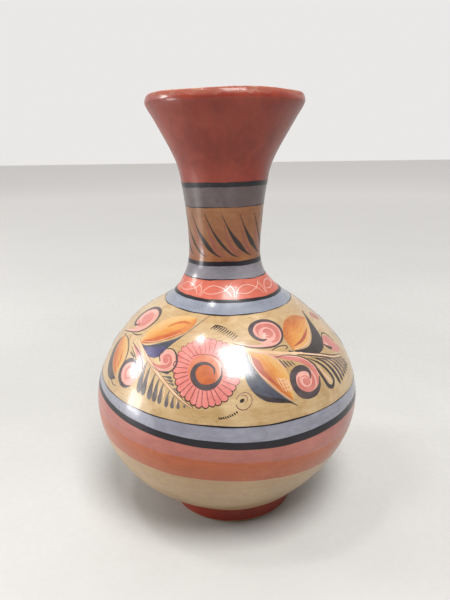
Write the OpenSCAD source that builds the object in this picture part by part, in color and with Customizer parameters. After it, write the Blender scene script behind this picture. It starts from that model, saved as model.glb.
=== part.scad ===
// Long-necked burnished clay vase, about 300 mm tall.
// Two moulded bowls are luted rim to rim at the belly.  A neck tube, a flared mouth and a rim coil stand
// on them, and a ring foot is luted underneath.  Coloured slips cover the clay in bands, and black slip
// lines part the bands.  Millimetres, +Z up, origin at the middle of the foot's resting face.

/* [Body] */
// Height of the clay, foot to lip
height = 300; // [270:1:330]
// Thickness of the clay wall
wall = 5.6; // [4.5:0.1:6.5]
// Radius at the belly's widest place
belly_r = 97.3; // [92:0.1:104]
// Height of the belly's widest place
belly_z = 85.4; // [80:0.1:92]

/* [Foot] */
// Radius of the foot ring at its top
foot_r = 47; // [44:0.5:50]
// Height of the foot ring
foot_h = 14; // [11:0.5:16]
// Width of the foot ring
foot_w = 10; // [8:0.5:12]
// Draft of the foot's outer face, narrower below
foot_draft = 0.8; // [0:0.1:2]
// Rounded edge of the resting face, as a bevel
foot_bevel = 1.4; // [0.8:0.1:2]

/* [Shoulder] */
// Radius where the shoulder's outward bulge turns into the neck's inward sweep
turn_r = 50; // [46:0.5:54]
// Height of that place
turn_z = 157.2; // [152:0.1:162]
// Slope of the shoulder there, above level, in degrees
turn_slope = 31; // [25:1:40]

/* [Neck] */
// Radius of the neck at its narrowest place
waist_r = 25; // [23:0.1:28]
// Height of the narrowest place
waist_z = 196; // [190:0.5:202]
// Radius where the neck begins to flare
bend_r = 31.3; // [29:0.1:34]
// Height where the neck begins to flare
bend_z = 250.5; // [245:0.5:256]

/* [Mouth] */
// Widest radius of the rim
rim_r = 54; // [50:0.1:58]
// Height of the lip's rounding
lip_h = 5.5; // [4:0.1:7]
// How far the red slip runs down inside the mouth
lining_h = 28; // [15:1:40]

/* [Joints] */
// Half the height of the bevelled joint between two sections
bevel = 2.6; // [1.5:0.1:3.5]
// Height of the joint between the two bowls
bowl_joint_z = 85.4; // [82:0.1:88]
// Height of the joint between the shoulder and the neck
neck_joint_z = 168.5; // [167:0.1:172]
// Height of the joint between the neck and the flared mouth
mouth_joint_z = 233; // [230:0.5:236]
// Height of the joint between the mouth and the rim coil
rim_joint_z = 284; // [280:0.5:287]

/* [Slip] */
// Thickness of a coat of coloured slip
coat_t = 0.3; // [0.2:0.05:0.5]
// Thickness of a black line on top of the coats
line_t = 0.12; // [0.08:0.01:0.2]
// Width of a thin line, along the height
thin_w = 0.9; // [0.6:0.1:1.4]
// Top of the cream band
cream_top = 62.9; // [58:0.1:66]
// Top of the orange band
orange_top = 78.7; // [74:0.1:80]
// Middle of the broad black belly line
belly_line_z = 92.4; // [90:0.1:94]
// Width of the broad black belly line
belly_line_w = 4.9; // [4:0.1:6]
// Bottom of the painted field
field_base = 103.9; // [100:0.1:108]
// Top of the painted field
field_top = 159.4; // [157.5:0.1:161]
// Middle of the black line under the coral band
coral_line_z = 166; // [165:0.1:167]
// Width of the black line under the coral band
coral_line_w = 2.4; // [1.6:0.1:3]
// Top of the coral band
coral_top = 177.8; // [174:0.1:180]
// Middle of the black line at the neck's base
neck_line_z = 188.5; // [186:0.1:190]
// Width of the black line at the neck's base
neck_line_w = 3.3; // [2.5:0.1:4]
// Top of the tan leaf band
tan_top = 226.6; // [224:0.1:230]
// Middle of the black line under the flare
flare_line_z = 241.2; // [239:0.1:243]
// Width of the black line under the flare
flare_line_w = 3.1; // [2.5:0.1:4]

/* [Hidden] */
$fn = 128;
// Lengths of the curve handles, as shares of the distances they span
base_z = foot_h;
base_slope = 15;
base_pull = 21;
belly_pull_down = 0.45 * (belly_z - base_z);
belly_pull_up = 0.55 * (turn_z - belly_z);
turn_pull_down = 15.4;
turn_pull_up = 13.6;
waist_pull_down = 0.56 * (waist_z - turn_z);
waist_pull_up = 0.245 * (bend_z - waist_z);
bend_lean = 12.4;
bend_pull_down = 0.25 * (bend_z - waist_z);
rim_z = height - lip_h;
bend_pull_up = 0.26 * (rim_z - bend_z);
rim_lean = 27;
rim_pull = 0.28 * (rim_z - bend_z);
floor_z = base_z + wall + 0.4;
tongue_in = foot_r - 0.65 * foot_w;
tongue_out = foot_r - 0.35 * foot_w;
tongue_h = 2.2;
coil_half = 7;
coil_swell = 2.4;
lute = 4;
rise = [0, 1];

// A point, and the unit direction, on a cubic curve through four control points [r, z]
function along(p, t) = pow(1 - t, 3) * p[0] + 3 * pow(1 - t, 2) * t * p[1]
    + 3 * (1 - t) * t * t * p[2] + pow(t, 3) * p[3];
function course(p, t) = 3 * pow(1 - t, 2) * (p[1] - p[0]) + 6 * (1 - t) * t * (p[2] - p[1])
    + 3 * t * t * (p[3] - p[2]);
function heading(angle) = [cos(angle), sin(angle)];

// The five curves that make the outside of the vase, from the foot's top to the lip
BASE = [foot_r, base_z];
BELLY = [belly_r, belly_z];
TURN = [turn_r, turn_z];
WAIST = [waist_r, waist_z];
BEND = [bend_r, bend_z];
RIM = [rim_r, rim_z];
CURVES = [
    [BASE, BASE + base_pull * heading(base_slope), BELLY - belly_pull_down * rise, BELLY],
    [BELLY, BELLY + belly_pull_up * rise, TURN - turn_pull_down * heading(180 - turn_slope), TURN],
    [TURN, TURN + turn_pull_up * heading(180 - turn_slope), WAIST - waist_pull_down * rise, WAIST],
    [WAIST, WAIST + waist_pull_up * rise, BEND - bend_pull_down * heading(90 - bend_lean), BEND],
    [BEND, BEND + bend_pull_up * heading(90 - bend_lean), RIM - rim_pull * heading(90 - rim_lean), RIM]
];
STEPS = [16, 18, 14, 9, 14];

// Knots of the outline as [z, r, outward r, outward z]
function knot(p, d) = [p[1], p[0], d[1] / norm(d), -d[0] / norm(d)];
KNOTS = [
    for (c = [0:len(CURVES) - 1], i = [(c == 0 ? 0 : 1):STEPS[c]])
        knot(along(CURVES[c], i / STEPS[c]), course(CURVES[c], i / STEPS[c]))
];
R_AT = [for (k = KNOTS) [k[0], k[1]]];
OUT_R_AT = [for (k = KNOTS) [k[0], k[2]]];
OUT_Z_AT = [for (k = KNOTS) [k[0], k[3]]];

// The point that stands off the outline by d at height z, and a run of such points between two heights
function off(z, d) = [lookup(z, R_AT) + d * lookup(z, OUT_R_AT), z + d * lookup(z, OUT_Z_AT)];
function run(z0, z1, d) = concat(
    [off(z0, d)],
    [for (k = KNOTS) if (k[0] > z0 + 0.01 && k[0] < z1 - 0.01) off(k[0], d)],
    [off(z1, d)]
);
function back(points) = [for (i = [len(points) - 1:-1:0]) points[i]];

// The lip's rounding, d outside the clay, from its outer side over the top to the inside
lip_a = wall / 2;
lip_mid = rim_r - lip_a;
function lip(d) = [for (a = [0:12:180]) [lip_mid + (lip_a + d) * cos(a), rim_z + (lip_h + d) * sin(a)]];

// One clay section of the wall between two bevelled joints
module section(z0, z1) {
    rotate_extrude() polygon(concat(
        run(z0 - bevel, z1 - bevel, 0),
        back(run(z0 + bevel, z1 + bevel, -wall))
    ));
}

// A coat of slip or a painted line between two heights, from d0 to d1 outside the clay
module layer(z0, z1, d0, d1) {
    rotate_extrude() polygon(concat(run(z0, z1, d1), back(run(z0, z1, d0))));
}

module coat(z0, z1) {
    layer(z0, z1, 0, coat_t);
}

module line(z, w) {
    layer(z - w / 2, z + w / 2, coat_t, coat_t + line_t);
}

// A coil of clay smeared over a joint, inside the wall
module seam_coil(z) {
    swell = [
        for (z1 = [z + coil_half:-1:z - coil_half])
            off(z1, -wall - coil_swell * sqrt(1 - pow((z1 - z) / (coil_half + 0.6), 2)))
    ];
    rotate_extrude() polygon(concat(run(z - coil_half, z + coil_half, -wall), swell));
}

// Foot ring with a tongue that keys into the lower bowl
module foot_ring() {
    color("sienna") rotate_extrude() polygon([
        [foot_r - foot_w + foot_bevel, 0],
        [foot_r - foot_draft - foot_bevel, 0],
        [foot_r - foot_draft, foot_bevel],
        [foot_r, foot_h],
        [tongue_out, foot_h],
        [tongue_out, foot_h + tongue_h],
        [tongue_in, foot_h + tongue_h],
        [tongue_in, foot_h],
        [foot_r - foot_w, foot_h],
        [foot_r - foot_w, foot_bevel]
    ]);
}

// Fillet of clay that lutes the ring to the underside of the bowl
module foot_lute_coil() {
    corner = [foot_r - foot_w, foot_h];
    fillet = [for (a = [0:15:90]) corner + lute * [sin(a) - 1, cos(a) - 1]];
    color("peru") rotate_extrude() polygon(concat([corner], fillet));
}

// Lower half of the body, with its floor and the groove for the foot's tongue
module lower_bowl() {
    color("tan") rotate_extrude() polygon(concat(
        [
            [0, foot_h],
            [tongue_in, foot_h],
            [tongue_in, foot_h + tongue_h],
            [tongue_out, foot_h + tongue_h],
            [tongue_out, foot_h]
        ],
        run(base_z, bowl_joint_z - bevel, 0),
        back(run(base_z, bowl_joint_z + bevel, -wall)),
        [[0, floor_z]]
    ));
}

// Upper half of the body, open at the neck
module upper_bowl() {
    color("burlywood") section(bowl_joint_z, neck_joint_z);
}

module neck() {
    color("tan") section(neck_joint_z, mouth_joint_z);
}

module flared_mouth() {
    color("burlywood") section(mouth_joint_z, rim_joint_z);
}

// Last coil of the mouth, rounded over into the lip
module rim_coil() {
    color("tan") rotate_extrude() polygon(concat(
        run(rim_joint_z - bevel, rim_z, 0),
        lip(0),
        back(run(rim_joint_z + bevel, rim_z - lip_h, -wall))
    ));
}

module belly_seam_coil() {
    color("peru") seam_coil(bowl_joint_z);
}

module neck_seam_coil() {
    color("peru") seam_coil(neck_joint_z);
}

// Red slip on the outside of the foot, clear of the ground
module foot_slip() {
    inset = 0.6;
    low = foot_bevel + inset;
    high = foot_h - inset;
    r_low = foot_r - foot_draft * (foot_h - low) / (foot_h - foot_bevel);
    r_high = foot_r - foot_draft * (foot_h - high) / (foot_h - foot_bevel);
    color("firebrick") rotate_extrude() polygon([
        [r_low, low],
        [r_low + coat_t, low],
        [r_high + coat_t, high],
        [r_high, high]
    ]);
}

module cream_band() {
    color("darkkhaki") coat(base_z, cream_top);
}

module orange_band() {
    color("chocolate") coat(cream_top, orange_top);
}

module rose_band() {
    color("rosybrown") coat(orange_top, belly_line_z);
}

module belly_grey_band() {
    color("slategray") coat(belly_line_z, field_base);
}

module painted_field() {
    color("burlywood") coat(field_base, field_top);
}

module shoulder_grey_band() {
    color("slategray") coat(field_top, coral_line_z);
}

module coral_band() {
    color("salmon") coat(coral_line_z, coral_top);
}

module lower_neck_grey_band() {
    color("slategray") coat(coral_top, neck_line_z);
}

module leaf_band() {
    color("peru") coat(neck_line_z, tan_top);
}

module upper_neck_grey_band() {
    color("slategray") coat(tan_top, flare_line_z);
}

// Red slip of the flare, carried over the lip and a little way down inside
module flare_slip() {
    color("brown") rotate_extrude() polygon(concat(
        run(flare_line_z, rim_z, coat_t),
        lip(coat_t),
        back(run(rim_z - lining_h, rim_z - lip_h, -wall - coat_t)),
        run(rim_z - lining_h, rim_z - lip_h, -wall),
        back(lip(0)),
        back(run(flare_line_z, rim_z, 0))
    ));
}

module belly_line() {
    color("black") line(belly_line_z, belly_line_w);
}

module field_base_line() {
    color("black") line(field_base, thin_w);
}

module field_top_line() {
    color("black") line(field_top, thin_w);
}

module coral_base_line() {
    color("black") line(coral_line_z, coral_line_w);
}

module coral_top_line() {
    color("black") line(coral_top, thin_w);
}

module neck_base_line() {
    color("black") line(neck_line_z, neck_line_w);
}

module neck_top_line() {
    color("black") line(tan_top, thin_w);
}

module flare_line() {
    color("black") line(flare_line_z, flare_line_w);
}

foot_ring();
foot_lute_coil();
lower_bowl();
belly_seam_coil();
upper_bowl();
neck_seam_coil();
neck();
flared_mouth();
rim_coil();
foot_slip();
cream_band();
orange_band();
rose_band();
belly_grey_band();
painted_field();
shoulder_grey_band();
coral_band();
lower_neck_grey_band();
leaf_band();
upper_neck_grey_band();
flare_slip();
belly_line();
field_base_line();
field_top_line();
coral_base_line();
coral_top_line();
neck_base_line();
neck_top_line();
flare_line();
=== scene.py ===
import math

import bmesh
import bpy
import numpy as np
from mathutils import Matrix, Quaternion, Vector
from mathutils.bvhtree import BVHTree


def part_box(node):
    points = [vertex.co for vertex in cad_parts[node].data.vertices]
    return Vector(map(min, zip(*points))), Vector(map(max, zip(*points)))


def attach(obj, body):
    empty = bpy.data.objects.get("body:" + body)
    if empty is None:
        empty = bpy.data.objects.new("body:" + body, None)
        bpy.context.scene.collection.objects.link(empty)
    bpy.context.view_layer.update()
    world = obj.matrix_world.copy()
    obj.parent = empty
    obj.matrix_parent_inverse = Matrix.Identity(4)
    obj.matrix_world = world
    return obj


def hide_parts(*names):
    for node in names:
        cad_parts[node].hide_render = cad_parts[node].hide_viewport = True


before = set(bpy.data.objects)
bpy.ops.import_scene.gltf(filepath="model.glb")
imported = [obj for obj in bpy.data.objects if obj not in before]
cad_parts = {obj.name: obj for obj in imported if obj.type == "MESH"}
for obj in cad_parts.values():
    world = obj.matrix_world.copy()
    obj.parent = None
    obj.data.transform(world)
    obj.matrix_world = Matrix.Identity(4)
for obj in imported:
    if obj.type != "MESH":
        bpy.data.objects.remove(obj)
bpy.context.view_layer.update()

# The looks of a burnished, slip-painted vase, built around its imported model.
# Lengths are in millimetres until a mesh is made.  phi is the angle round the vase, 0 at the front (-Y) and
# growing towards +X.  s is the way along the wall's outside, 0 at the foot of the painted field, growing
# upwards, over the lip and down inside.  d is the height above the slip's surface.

TAU = 2 * math.pi
MM = 0.001              # a millimetre in metres
SEGMENTS = 320          # points round each coat of slip
FINE = 0.5              # step along the wall's profile
COAT = 0.3              # thickness of a coat of slip
BAND_LINE_RISE = 0.09   # height of a broad painted line above its coat
THIN_LINE_RISE = 0.07   # height of a thin painted line
LINE_ROOT = -0.05       # how far a line reaches down into its coat
MARK_RISE = 0.05        # height of the lowest brush marks
LEVEL_RISE = 0.04       # added for each layer of brush marks
MARK_ROOT = -0.03       # how far a brush mark reaches down
LEAST = 0.1             # width of the finest brush mark
STROKE_STEP = 0.8       # length of one row of faces along a stroke
LEAF_STEP = 1.0         # the same along a leaf
COLUMN_STEP = 1.5       # width of one column of faces across a mark

COATS = [
    "cream_band", "orange_band", "rose_band", "belly_grey_band", "painted_field", "shoulder_grey_band",
    "coral_band", "lower_neck_grey_band", "leaf_band", "upper_neck_grey_band", "flare_slip",
]
CLAY = [
    "foot_ring", "foot_lute_coil", "lower_bowl", "belly_seam_coil", "upper_bowl", "neck_seam_coil", "neck",
    "flared_mouth", "rim_coil",
]


# ---------------------------------------------------------------- the wall's profile, read from the imported model

def box_mm(node):
    low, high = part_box(node)
    return np.array(low) / MM, np.array(high) / MM


def tree_of(names):
    """One search tree over several CAD nodes."""
    points = []
    faces = []
    for name in names:
        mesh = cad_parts[name].data
        start = len(points)
        points += [v.co.copy() for v in mesh.vertices]
        faces += [[start + i for i in p.vertices] for p in mesh.polygons]
    return BVHTree.FromPolygons(points, faces)


def hit(tree, r, z, dr, dz):
    """Where a ray in the X-Z plane meets the solids, as (r, z), or None."""
    spot, _, _, _ = tree.ray_cast(Vector((r * MM, 0, z * MM)), Vector((dr, 0, dz)))
    return None if spot is None else (spot.x / MM, spot.z / MM)


def evenly(points, step):
    """A polyline's points respaced to an even step."""
    points = np.array(points)
    reach = np.r_[0, np.cumsum(np.hypot(*np.diff(points, axis=0).T))]
    count = max(2, int(round(reach[-1] / step)) + 1)
    along = np.linspace(0, reach[-1], count)
    return np.stack([np.interp(along, reach, points[:, k]) for k in (0, 1)], 1)


def eased(points, step, spread):
    """The points smoothed over a distance, with both ends kept."""
    half = int(4 * spread / step)
    weights = np.exp(-0.5 * (np.arange(-half, half + 1) * step / spread) ** 2)
    weights /= weights.sum()
    head = 2 * points[0] - points[half:0:-1]
    tail = 2 * points[-1] - points[-2:-half - 2:-1]
    padded = np.concatenate([head, points, tail])
    return np.stack([np.convolve(padded[:, k], weights, "valid") for k in (0, 1)], 1)


def read_profile():
    """The slip's surface from the foot of the cream band over the lip and down inside, as (r, z)."""
    coats = tree_of(COATS)
    inside = tree_of(["flare_slip", "flared_mouth", "neck", "upper_bowl"])
    outside_r = 200
    inside_end_z = 150
    off_lip = 20
    spread = 2.4
    z_low = box_mm("cream_band")[0][2] + 0.15
    _, rim_high = box_mm("rim_coil")
    lip_z = rim_high[2] - 5.5
    lip_r = rim_high[0] - 2.8
    outer = [hit(coats, outside_r, z, -1, 0) for z in np.arange(z_low, lip_z, 0.2)]
    lip = []
    for a in np.radians(np.arange(2, 180, 4)):
        out, up = math.cos(a), math.sin(a)
        lip.append(hit(coats, lip_r + off_lip * out, lip_z + off_lip * up, -out, -up))
    inner = [hit(inside, 0, z, 1, 0) for z in np.arange(lip_z - 2, inside_end_z, -0.5)]
    outer = eased(evenly([p for p in outer if p], FINE), FINE, spread)
    inner = eased(evenly([p for p in inner if p], FINE), FINE, spread)
    return evenly(np.concatenate([outer, [p for p in lip if p], inner]), FINE)


PROFILE = eased(read_profile(), FINE, 0.8)
REACH = np.arange(len(PROFILE)) * FINE
TANGENT = np.gradient(PROFILE, axis=0)
TANGENT /= np.hypot(*TANGENT.T)[:, None]
LIP_TOP = int(np.argmax(PROFILE[:, 1]))


def reach_at(z):
    """The way along the outside at a height."""
    return float(np.interp(z, PROFILE[:LIP_TOP, 1], REACH[:LIP_TOP]))


def middle(node):
    """The way along the outside to the middle of a line's height."""
    low, high = box_mm(node)
    return reach_at((low[2] + high[2]) / 2)


ZERO = middle("field_base_line")


def line_at(node):
    """The way up to a line's middle from the field's foot."""
    return middle(node) - ZERO


def top_of(node):
    """The way up to a band's top from the field's foot."""
    return reach_at(box_mm(node)[1][2]) - ZERO


def at(s, column, table):
    """A column of the profile's or the tangents' table, read at a way up."""
    return np.interp(np.asarray(s) + ZERO, REACH, table[:, column])


def radius(s):
    return at(s, 0, PROFILE)


# ---------------------------------------------------------------- hand-made unevenness and placing

def bump(x, centre, width):
    return np.exp(-0.5 * ((x - centre) / width) ** 2)


def ease(x, low, high):
    """0 below low, 1 above high, smooth between."""
    t = np.clip((x - low) / (high - low), 0, 1)
    return t * t * (3 - 2 * t)


def uneven(x, y, z):
    """The small faults of hand building: neck and foot joined a little off, lip and body not quite round."""
    phi = np.arctan2(x, -y)
    out = 0.35 * np.sin(2 * phi + 0.6) * bump(z, 90, 45)
    out += 0.25 * np.sin(3 * phi + 1.9 + z / 60) * bump(z, 110, 70)
    out += 0.3 * np.sin(2 * phi + 2.4) * bump(z, 300, 25)
    out += 0.12 * np.sin(7 * phi + z / 17)
    out += 0.5 * bump(z, 291, 3) - 0.6 * bump(z, 298, 10)
    lean = 2.0 * bump(z, 163, 7) - 0.9 * bump(z, 146, 7) + 0.6 * bump(z, 118, 14)
    lean += 0.7 * ease(z, 170, 220) + 1.1 * ease(z, 240, 300)
    foot = 1 - ease(z, 13, 27)
    lean += 3.4 * foot - 1.2 * bump(z, 38, 16) * (1 - foot)
    ahead = 2.6 * foot
    lift = (0.5 * np.sin(phi * 2 + 1.1) + 0.25 * np.sin(phi * 5)) * bump(z, 302, 7)
    return x + lean + out * np.sin(phi), y - ahead - out * np.cos(phi), z + lift


def place(phi, s, d):
    """Points on the vase, in metres, from angle, way along the wall and height above the slip."""
    phi, s, d = np.broadcast_arrays(phi, s, d)
    r = at(s, 0, PROFILE) + d * at(s, 1, TANGENT)
    z = at(s, 1, PROFILE) - d * at(s, 0, TANGENT)
    x, y, z = uneven(r * np.sin(phi), -r * np.cos(phi), z)
    return np.stack([x, y, z], -1) * MM


# ---------------------------------------------------------------- meshes

def make_object(name, mesh):
    """An object with a smooth surface, creased where it turns sharply."""
    mesh.polygons.foreach_set("use_smooth", [True] * len(mesh.polygons))
    mesh.set_sharp_from_angle(angle=math.radians(35))
    obj = bpy.data.objects.new(name, mesh)
    bpy.context.collection.objects.link(obj)
    return obj


def from_faces(name, points, faces):
    mesh = bpy.data.meshes.new(name)
    mesh.from_pydata([tuple(p) for p in points], [], faces)
    mesh.validate()
    return make_object(name, mesh)


def give_numbers(obj, name, values):
    """A number at each vertex that a material can read."""
    layer = obj.data.attributes.new(name, "FLOAT", "POINT")
    layer.data.foreach_set("value", np.asarray(values, np.float32).ravel())


def dress(obj, material, slot, *nodes):
    """Gives a piece its material and its body and hides the CAD nodes it stands for; slot is not used."""
    obj.data.materials.clear()
    obj.data.materials.append(material)
    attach(obj, "root")
    if nodes:
        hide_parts(*nodes)
    return obj


def ring_faces(rows, columns):
    """Quads of a closed tube whose cross-section is a loop of `rows` points."""
    i, j = np.meshgrid(np.arange(rows), np.arange(columns), indexing="ij")
    i2 = (i + 1) % rows
    j2 = (j + 1) % columns
    quads = np.stack([i * columns + j, i * columns + j2, i2 * columns + j2, i2 * columns + j], -1)
    return quads.reshape(-1, 4).tolist()


def shell(name, low, high, top, bottom, step, sink=None):
    """A closed coat round the whole vase between two edges, each a function of phi.

    top and bottom are its heights above the slip, and sink(phi, s) is how deep its surface is worn.
    """
    phi = np.arange(SEGMENTS) / SEGMENTS * TAU
    edge_low = low(phi)
    edge_high = high(phi)
    rows = max(2, int(np.ceil(np.max(edge_high - edge_low) / step)) + 1)
    share = np.linspace(0, 1, rows)[:, None]
    s = edge_low[None] * (1 - share) + edge_high[None] * share
    rise = np.zeros_like(s) if sink is None else -sink(phi[None], s)
    upper = place(phi[None], s, top + rise)
    lower = place(phi[None], s[::-1], bottom)
    points = np.concatenate([upper, lower]).reshape(-1, 3)
    obj = from_faces(name, points, ring_faces(2 * rows, SEGMENTS))
    if sink is not None:
        give_numbers(obj, "worn", np.concatenate([-rise, -rise[::-1]]))
        give_numbers(obj, "way", np.concatenate([s - LIP, s[::-1] - LIP]))
    return obj


# ---------------------------------------------------------------- materials

def colour(text):
    """A linear colour from a six-digit sRGB one."""
    parts = [int(text[k:k + 2], 16) / 255 for k in (0, 2, 4)]
    return tuple(c / 12.92 if c <= 0.04045 else ((c + 0.055) / 1.055) ** 2.4 for c in parts) + (1.0,)


class Nodes:
    """Short calls for building a material's nodes."""

    def __init__(self, name):
        self.material = bpy.data.materials.new(name)
        self.material.use_nodes = True
        self.tree = self.material.node_tree
        self.shader = self.tree.nodes["Principled BSDF"]
        self.position = self.add("ShaderNodeTexCoord").outputs["Object"]

    def add(self, kind, **settings):
        node = self.tree.nodes.new(kind)
        for key, value in settings.items():
            setattr(node, key, value)
        return node

    def link(self, source, socket):
        self.tree.links.new(source, socket)

    def put(self, socket, value):
        if isinstance(value, bpy.types.NodeSocket):
            self.link(value, socket)
        else:
            socket.default_value = value

    def stretched(self, x, y, z):
        """The position with each axis scaled."""
        node = self.add("ShaderNodeMapping")
        self.link(self.position, node.inputs["Vector"])
        node.inputs["Scale"].default_value = (x, y, z)
        return node.outputs["Vector"]

    def noise(self, vector, scale, detail=3.0, roughness=0.55, distortion=0.0):
        node = self.add("ShaderNodeTexNoise")
        self.link(vector, node.inputs["Vector"])
        node.inputs["Scale"].default_value = scale
        node.inputs["Detail"].default_value = detail
        node.inputs["Roughness"].default_value = roughness
        node.inputs["Distortion"].default_value = distortion
        return node.outputs["Fac"]

    def spots(self, vector, scale, size):
        """1 inside small scattered specks, 0 outside."""
        node = self.add("ShaderNodeTexVoronoi")
        self.link(vector, node.inputs["Vector"])
        node.inputs["Scale"].default_value = scale
        return self.remap(node.outputs["Distance"], size, size * 0.4, 0, 1)

    def remap(self, value, low, high, to_low, to_high):
        node = self.add("ShaderNodeMapRange")
        self.link(value, node.inputs["Value"])
        for key, number in zip(("From Min", "From Max", "To Min", "To Max"), (low, high, to_low, to_high)):
            node.inputs[key].default_value = number
        return node.outputs["Result"]

    def maths(self, operation, a, b):
        node = self.add("ShaderNodeMath", operation=operation)
        self.put(node.inputs[0], a)
        self.put(node.inputs[1], b)
        return node.outputs[0]

    def plus(self, a, b):
        return self.maths("ADD", a, b)

    def times(self, a, b):
        return self.maths("MULTIPLY", a, b)

    def window(self, value, low, full, fading, gone):
        """0 below low, 1 from full to fading, 0 above gone."""
        return self.times(self.remap(value, low, full, 0, 1), self.remap(value, fading, gone, 1, 0))

    def mix(self, share, a, b):
        node = self.add("ShaderNodeMix", data_type="RGBA", blend_type="MIX")
        self.put(node.inputs["Factor"], share)
        self.put(node.inputs["A"], a)
        self.put(node.inputs["B"], b)
        return node.outputs["Result"]

    def over(self, tint, text, value, low, high, most=1):
        """The tint turned to a colour, by up to the share `most`, as the value goes from low to high."""
        return self.mix(self.remap(value, low, high, 0, most), tint, colour(text))

    def read(self, name):
        return self.add("ShaderNodeAttribute", attribute_name=name).outputs["Fac"]

    def shine(self, gloss, coat, coat_rough):
        self.shader.inputs["Specular IOR Level"].default_value = gloss
        self.shader.inputs["Coat Weight"].default_value = coat
        self.shader.inputs["Coat Roughness"].default_value = coat_rough

    def finish(self, tint, rough, height, strength, distance):
        self.link(tint, self.shader.inputs["Base Color"])
        self.link(rough, self.shader.inputs["Roughness"])
        node = self.add("ShaderNodeBump")
        node.inputs["Strength"].default_value = strength
        node.inputs["Distance"].default_value = distance
        self.link(height, node.inputs["Height"])
        self.link(node.outputs["Normal"], self.shader.inputs["Normal"])
        return self.material


def worn_lip_with_painted_highlight(n, tint, dull, blots, patches, fine, clay):
    """The lip rubbed pale and dull, with a painted highlight along its crown, and the clay's colour where
    the slip is chipped away.
    """
    shifted = n.plus(n.read("way"), n.remap(blots, 0.3, 0.7, -1.6, 1.6))
    rubbed = n.window(shifted, -4.6, -3.6, 9.0, 12.0)
    tint = n.mix(n.times(rubbed, 0.6), tint, colour("804430"))
    line = n.window(shifted, -5.6, -4.7, -4.7, -3.8)
    line = n.times(line, n.remap(patches, 0.42, 0.55, 0.0, 0.75))
    tint = n.mix(line, tint, colour("96685a"))
    # Painted highlight: the top of the lip is painted paler where the light from above catches it.
    painted_crown_highlight = n.window(shifted, -1.6, -0.3, 2.5, 4.0)
    tint = n.mix(n.times(painted_crown_highlight, 0.6), tint, colour("b88670"))
    worn = n.remap(n.read("worn"), 0.03, 0.11, 0, 1)
    raw = n.over(colour(clay), "8a6252", fine, 0.4, 0.65)
    dull = n.plus(dull, n.remap(worn, 0, 1, 0, 0.3))
    dull = n.plus(dull, n.times(rubbed, 0.35))
    return n.mix(worn, tint, raw), dull


def burnished(
    name, base, dark, pale, rough=(0.24, 0.42), coat=0.6, speck=0.5, wear=None, low=None,
    gloss=0.45, blotch=0.65, fleck="3a2a22",
):
    """Slip rubbed to a shine with a stone: brush bands, mottling, specks, fine scratches and dull patches.

    low is (z, z, colour): the tint leans to the colour from the second height down to the first.
    wear is the clay's colour where the lip is worn through; it also brings the lip's rubbing and the painted
    highlight on its crown, and it turns the brush bands upright.
    """
    n = Nodes(name)
    n.shine(gloss, coat, 0.13)
    around = n.stretched(4, 4, 0.5) if wear else n.stretched(1, 1, 9)
    brush = n.noise(around, 30 if wear else 60, 4, 0.6)
    patches = n.noise(n.position, 28, 3, 0.6, 0.4)
    blots = n.noise(n.position, 75, 4, 0.7, 0.8)
    fine = n.noise(n.position, 420, 3, 0.7)
    tint = n.over(colour(base), dark, brush, 0.3, 0.72, 0.75)
    if low:
        parts = n.add("ShaderNodeSeparateXYZ")
        n.link(n.position, parts.inputs[0])
        share = n.remap(parts.outputs["Z"], low[0] * MM, low[1] * MM, 0.85, 0)
        tint = n.mix(n.times(share, n.remap(blots, 0.3, 0.7, 0.5, 1)), tint, colour(low[2]))
    tint = n.over(tint, pale, patches, 0.45, 0.75, 0.7)
    tint = n.over(tint, dark, blots, 0.48, 0.7, blotch)
    tint = n.over(tint, dark, fine, 0.35, 0.7, 0.22)
    specks = n.spots(n.position, 380, 0.16)
    specks = n.times(specks, n.remap(patches, 0.48, 0.62, 0, speck))
    tint = n.mix(specks, tint, colour(fleck))
    scratch = n.noise(n.stretched(1.0, 1.0, 0.07), 700, 1, 0.5)
    scratch = n.times(n.remap(scratch, 0.74, 0.8, 0, 0.5), n.remap(brush, 0.5, 0.7, 0, 1))
    tint = n.mix(scratch, tint, colour(pale))
    dull = n.plus(n.remap(patches, 0.35, 0.7, rough[0], rough[1]), n.remap(fine, 0.3, 0.8, -0.03, 0.06))
    if wear:
        tint, dull = worn_lip_with_painted_highlight(n, tint, dull, blots, patches, fine, wear)
    height = n.plus(brush, n.times(fine, 0.25))
    return n.finish(tint, dull, height, 0.3, 0.0002)


def raw_clay(name):
    """Unslipped low-fired clay, with grit, wiping marks and dark fire clouds."""
    n = Nodes(name)
    wiped = n.noise(n.stretched(1, 1, 12), 45, 4, 0.6)
    cloud = n.noise(n.position, 14, 3, 0.6)
    grit = n.noise(n.position, 900, 2, 0.8)
    tint = n.over(colour("c08a5c"), "a4703f", wiped, 0.3, 0.7)
    tint = n.over(tint, "7a5a44", cloud, 0.5, 0.75, 0.6)
    tint = n.over(tint, "dcb890", grit, 0.6, 0.75, 0.5)
    height = n.plus(wiped, n.times(grit, 0.3))
    return n.finish(tint, n.remap(cloud, 0.3, 0.7, 0.75, 0.9), height, 0.6, 0.0004)


TERRACOTTA = burnished(
    "terracotta slip", "84301f", "682216", "924230", (0.3, 0.44), 0.3, 0.3,
    wear="7a4a38", low=(238, 262, "862a1e"), gloss=0.28,
)
GREY = burnished("grey slip", "7a7a86", "65656f", "90919b")
SHOULDER_GREY = burnished("shoulder grey slip", "747884", "60646e", "8c909a")
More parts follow.
